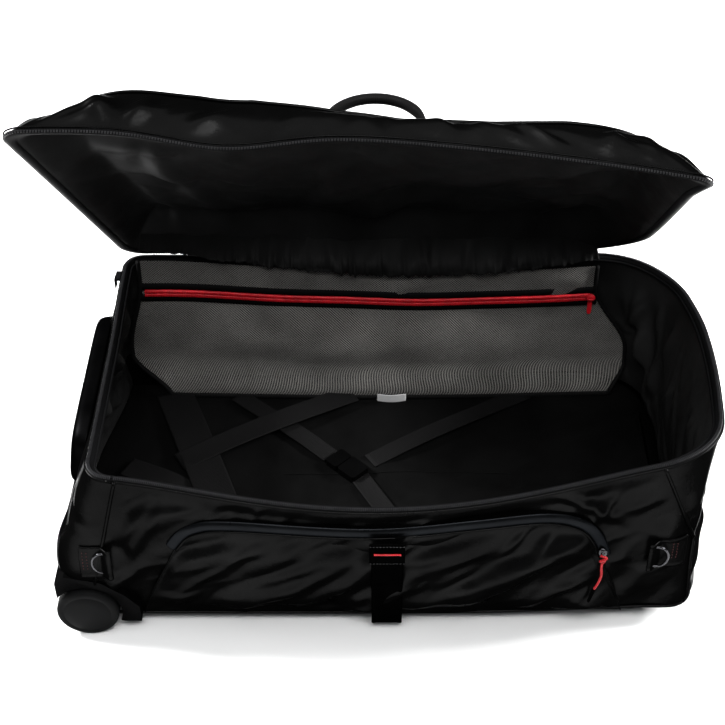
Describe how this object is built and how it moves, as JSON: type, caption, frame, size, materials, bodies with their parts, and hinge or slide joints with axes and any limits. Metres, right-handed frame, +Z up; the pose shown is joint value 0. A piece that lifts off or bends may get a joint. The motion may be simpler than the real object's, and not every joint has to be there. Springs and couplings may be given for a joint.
{
  "type": "wheeled duffel bag",
  "caption": "Soft wheeled duffel bag lying on its back, with a zip-round hinged lid, mesh pocket, cross straps, front pocket and a telescopic trolley handle.",
  "frame": {"origin": "on the floor, under the middle of the bag's bounding box as it lies on its back", "axes": "+X along the bag from the wheel end to the trolley handle end, +Y from the front pocket's side to the lid's hinge side, +Z up"},
  "size_m": [0.7902, 0.4599, 0.5964],
  "materials": {
    "shell_fabric": "black coated tarpaulin cloth, glossy, creased",
    "lining_fabric": "thin black woven nylon, satin, wrinkled",
    "mesh_fabric": "warm grey open diamond mesh",
    "webbing": "black woven polyester webbing, matt",
    "zip_tape": "black zip tape with a nylon coil",
    "sealed_tape": "satin slate-blue coated waterproof zip tape",
    "red_coil": "red nylon zip coil",
    "red_cord": "red braided cord with a black end",
    "moulded_plastic": "black moulded plastic, fine grain",
    "tyre_rubber": "dark grey smooth rubber",
    "soft_rubber": "black rubberised, matt",
    "steel": "polished dark nickel",
    "aluminium": "satin anodised",
    "label_cloth": "white satin label, blank"
  },
  "bodies": {
    "base": {"back_tray": "moulded_plastic", "floor_panel": "lining_fabric", "front_panel": "shell_fabric", "rear_panel": "shell_fabric", "wheel_end_panel": "shell_fabric", "handle_end_panel": "shell_fabric", "wall_lining": "lining_fabric", "base_zip": "zip_tape", "hinge_strip": "shell_fabric", "front_skid_foot": "moulded_plastic", "rear_skid_foot": "moulded_plastic", "front_wheel_axle": "steel", "rear_wheel_axle": "steel", "front_wheel_housing": "moulded_plastic", "rear_wheel_housing": "moulded_plastic", "standing_foot": "moulded_plastic", "front_outer_tube": "aluminium", "rear_outer_tube": "aluminium", "trolley_cup": "moulded_plastic", "pocket_panel": "shell_fabric", "pocket_zip": "sealed_tape", "side_strap": "soft_rubber", "strap_keeper": "webbing", "left_ring_tab": "webbing", "right_ring_tab": "webbing", "mesh_pocket": "mesh_fabric", "mesh_zip": "red_coil", "size_label": "label_cloth", "wide_strap_rear": "webbing", "wide_strap_front": "webbing", "plug_strap": "webbing", "socket_strap": "webbing", "side_cross_strap": "webbing", "buckle_socket": "moulded_plastic"},
    "lid": {"lid_zip": "zip_tape", "lid_skirt": "shell_fabric", "lid_panel": "shell_fabric", "lid_lining": "lining_fabric", "lid_handle_patch": "webbing"},
    "carry_handle": {"lid_handle": "webbing"},
    "front_wheel": {"front_wheel_tyre": "tyre_rubber", "front_wheel_hub": "tyre_rubber"},
    "rear_wheel": {"rear_wheel_tyre": "tyre_rubber", "rear_wheel_hub": "tyre_rubber"},
    "trolley_middle": {"front_middle_tube": "aluminium", "rear_middle_tube": "aluminium"},
    "trolley_handle": {"front_inner_tube": "aluminium", "rear_inner_tube": "aluminium", "trolley_grip": "soft_rubber"},
    "trolley_button": {"release_button": "moulded_plastic"},
    "pocket_zip_slider": {"pocket_slider": "steel"},
    "pocket_zip_pull": {"pocket_pull": "red_cord"},
    "mesh_zip_slider": {"mesh_slider": "red_coil"},
    "mesh_zip_pull": {"mesh_pull": "red_coil"},
    "left_ring": {"left_d_ring": "steel"},
    "right_ring": {"right_d_ring": "steel"},
    "left_zip_slider": {"left_main_slider": "steel"},
    "left_zip_pull": {"left_main_pull": "soft_rubber"},
    "right_zip_slider": {"right_main_slider": "steel"},
    "strap_plug": {"buckle_plug": "moulded_plastic"}
  },
  "joints": [
    {"name": "lid_hinge", "type": "hinge", "parent": "base", "child": "lid", "pos_m": [0, 0.21, 0.255], "axis": [-1, 0, 0], "range_deg": [-53, 107]},
    {"name": "carry_handle_swing", "type": "hinge", "parent": "lid", "child": "carry_handle", "pos_m": [-0.008, 0.14897, 0.47822], "axis": [1, 0, 0], "range_deg": [-60, 60]},
    {"name": "front_wheel_spin", "type": "hinge", "parent": "base", "child": "front_wheel", "pos_m": [-0.3575, -0.216, 0.0375], "axis": [0, 1, 0], "continuous": true},
    {"name": "rear_wheel_spin", "type": "hinge", "parent": "base", "child": "rear_wheel", "pos_m": [-0.3575, 0.216, 0.0375], "axis": [0, 1, 0], "continuous": true},
    {"name": "trolley_middle_slide", "type": "slide", "parent": "base", "child": "trolley_middle", "axis": [1, 0, 0], "range_m": [0, 0.17]},
    {"name": "trolley_handle_slide", "type": "slide", "parent": "trolley_middle", "child": "trolley_handle", "axis": [1, 0, 0], "range_m": [0, 0.17]},
    {"name": "trolley_button_press", "type": "slide", "parent": "trolley_handle", "child": "trolley_button", "axis": [-1, 0, 0], "range_m": [0, 0.003], "stiffness_N_per_m": 600},
    {"name": "pocket_zip_slide", "type": "slide", "parent": "base", "child": "pocket_zip_slider", "axis": [0.28, 0, -0.96], "range_m": [0, 0.035]},
    {"name": "pocket_pull_swing", "type": "hinge", "parent": "pocket_zip_slider", "child": "pocket_zip_pull", "pos_m": [0.254, -0.224, 0.136], "axis": [0, 1, 0], "range_deg": [-50, 50]},
    {"name": "mesh_zip_slide", "type": "slide", "parent": "base", "child": "mesh_zip_slider", "axis": [-1, 0, 0], "range_m": [0, 0.56]},
    {"name": "mesh_pull_swing", "type": "hinge", "parent": "mesh_zip_slider", "child": "mesh_zip_pull", "pos_m": [0.28, 0.17875, 0.2], "axis": [-1, 0, 0], "range_deg": [0, 120]},
    {"name": "left_ring_swing", "type": "hinge", "parent": "base", "child": "left_ring", "pos_m": [-0.321, -0.222, 0.125], "axis": [0, 0, 1], "range_deg": [0, 150]},
    {"name": "right_ring_swing", "type": "hinge", "parent": "base", "child": "right_ring", "pos_m": [0.311, -0.222, 0.134], "axis": [0, 0, -1], "range_deg": [0, 150]},
    {"name": "left_zip_slide", "type": "slide", "parent": "base", "child": "left_zip_slider", "axis": [0, -1, 0], "range_m": [0, 0.29]},
    {"name": "left_pull_swing", "type": "hinge", "parent": "left_zip_slider", "child": "left_zip_pull", "pos_m": [-0.3504, 0.165, 0.2505], "axis": [0, 1, 0], "range_deg": [0, 110]},
    {"name": "right_zip_slide", "type": "slide", "parent": "base", "child": "right_zip_slider", "axis": [0, -1, 0], "range_m": [0, 0.17]},
    {"name": "buckle_release", "type": "slide", "parent": "base", "child": "strap_plug", "axis": [-0.7071, 0.7071, 0], "range_m": [0, 0.026]}
  ]
}
